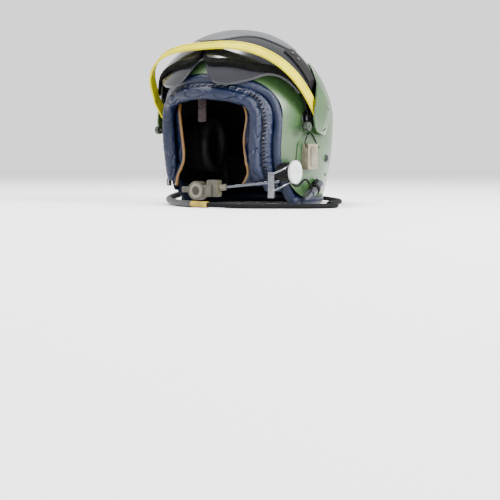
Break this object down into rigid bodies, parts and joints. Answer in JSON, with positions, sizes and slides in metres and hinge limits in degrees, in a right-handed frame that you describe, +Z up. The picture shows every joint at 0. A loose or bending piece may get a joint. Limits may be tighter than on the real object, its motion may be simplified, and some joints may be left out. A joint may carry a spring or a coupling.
{
  "type": "pilot flight helmet",
  "caption": "Open-face pilot's helmet with raised visors, a guard hoop, ear cups, a boom microphone and a lead.",
  "frame": {"origin": "on the table, under the middle of the shell's widest section", "axes": "+Z up, the wearer looks along -Y, the wearer's left is +X; X is the pivot axis of the visors"},
  "size_m": [0.3264, 0.3552, 0.2586],
  "materials": {
    "shell_paint": "satin",
    "foam": "matt",
    "pad_leather": "satin",
    "roll_leather": "satin",
    "binding_leather": "satin",
    "tab_leather": "satin",
    "cup_plastic": "matt",
    "lens_tint": "polished",
    "trim_rubber": "matt",
    "frame_grey": "satin",
    "arm_black": "satin",
    "knob_green": "matt",
    "hoop_yellow": "satin",
    "steel": "satin",
    "chrome_wire": "polished",
    "receiver_beige": "satin",
    "base_black": "matt",
    "knob_white": "satin",
    "mic_beige": "satin",
    "mic_grey": "satin",
    "cord_black": "matt",
    "sleeve_grey": "matt",
    "sleeve_yellow": "matt",
    "brass_pin": "polished"
  },
  "bodies": {
    "helmet": {"outer_shell": "shell_paint", "energy_liner": "foam", "crown_pad": "pad_leather", "nape_pad": "pad_leather", "crown_tab": "tab_leather", "nape_roll": "roll_leather", "face_roll_outer": "roll_leather", "face_roll_inner": "roll_leather", "face_roll_seam_band": "roll_leather", "ear_flaps": "roll_leather", "ear_flap_bindings": "binding_leather", "ear_cups": "cup_plastic", "ear_cushions": "pad_leather", "earphones": "cup_plastic", "pivot_posts": "steel", "pivot_washers": "steel", "side_pods": "shell_paint", "receiver_plates": "shell_paint", "mask_receiver_left": "receiver_beige", "mask_receiver_right": "receiver_beige", "rear_studs": "steel", "shell_rivets": "shell_paint", "boom_base": "base_black", "mic_lead": "cord_black", "connector_body": "steel", "connector_ring": "base_black", "connector_saddle": "base_black", "snap_tab": "base_black", "snap_studs": "chrome_wire", "cord_gland": "base_black", "comm_cord": "cord_black", "cord_sleeve_grey": "sleeve_grey", "cord_sleeve_yellow": "sleeve_yellow", "plug_body": "cup_plastic", "plug_pin": "brass_pin"},
    "outer_visor": {"outer_visor_lens": "lens_tint", "outer_visor_trim": "trim_rubber", "outer_visor_frame": "frame_grey", "outer_visor_arm_left": "arm_black", "outer_visor_arm_right": "arm_black", "outer_visor_knob": "knob_green", "visor_arm_screws": "steel"},
    "inner_visor": {"inner_visor_lens": "lens_tint", "inner_visor_arms": "arm_black", "inner_visor_knob": "knob_green"},
    "guard_hoop": {"visor_guard_hoop": "hoop_yellow"},
    "boom_arm": {"boom_hub": "arm_black", "boom_fork_wires": "chrome_wire", "boom_clamp": "chrome_wire", "boom_clamp_screws": "steel"},
    "boom_knob": {"boom_knob": "knob_white"},
    "boom_rod": {"boom_rod": "steel"},
    "microphone": {"mic_housing": "mic_beige", "mic_collar": "mic_grey", "mic_ring": "mic_grey", "mic_mesh": "mic_grey"},
    "bail_left": {"receiver_bail_left": "steel"},
    "bail_right": {"receiver_bail_right": "steel"},
    "button_left": {"receiver_button_left": "receiver_beige"},
    "button_right": {"receiver_button_right": "receiver_beige"}
  },
  "joints": [
    {"name": "outer_visor_pivot", "type": "hinge", "parent": "helmet", "child": "outer_visor", "pos_m": [0, -0.025, 0.127], "axis": [1, 0, 0], "range_deg": [0, 65]},
    {"name": "inner_visor_pivot", "type": "hinge", "parent": "helmet", "child": "inner_visor", "pos_m": [0, -0.025, 0.127], "axis": [1, 0, 0], "range_deg": [0, 60]},
    {"name": "guard_hoop_pivot", "type": "hinge", "parent": "helmet", "child": "guard_hoop", "pos_m": [0, -0.025, 0.127], "axis": [1, 0, 0], "range_deg": [-5, 38]},
    {"name": "boom_swivel", "type": "hinge", "parent": "helmet", "child": "boom_arm", "pos_m": [0.117, -0.066, 0.05], "axis": [1, 0, 0], "range_deg": [-12, 12]},
    {"name": "boom_knob_turn", "type": "hinge", "parent": "helmet", "child": "boom_knob", "pos_m": [0.12, -0.066, 0.05], "axis": [1, 0, 0], "continuous": true},
    {"name": "boom_rod_slide", "type": "slide", "parent": "boom_arm", "child": "boom_rod", "axis": [-0.9418, -0.319, -0.1063], "range_m": [-0.015, 0.004]},
    {"name": "microphone_swivel", "type": "hinge", "parent": "boom_rod", "child": "microphone", "pos_m": [0.041, -0.122, 0.029], "axis": [-0.9418, -0.319, -0.1063], "range_deg": [-20, 20]},
    {"name": "bail_swing_left", "type": "hinge", "parent": "helmet", "child": "bail_left", "pos_m": [0.1254, -0.025, 0.0855], "axis": [0, 1, 0], "range_deg": [0, 80]},
    {"name": "bail_swing_right", "type": "hinge", "parent": "helmet", "child": "bail_right", "pos_m": [-0.1254, -0.025, 0.0855], "axis": [0, -1, 0], "range_deg": [0, 80]},
    {"name": "release_button_left", "type": "slide", "parent": "helmet", "child": "button_left", "axis": [-1, 0, 0], "range_m": [0, 0.0015], "stiffness_N_per_m": 800, "springref_m": -0.001},
    {"name": "release_button_right", "type": "slide", "parent": "helmet", "child": "button_right", "axis": [1, 0, 0], "range_m": [0, 0.0015], "stiffness_N_per_m": 800, "springref_m": -0.001}
  ]
}
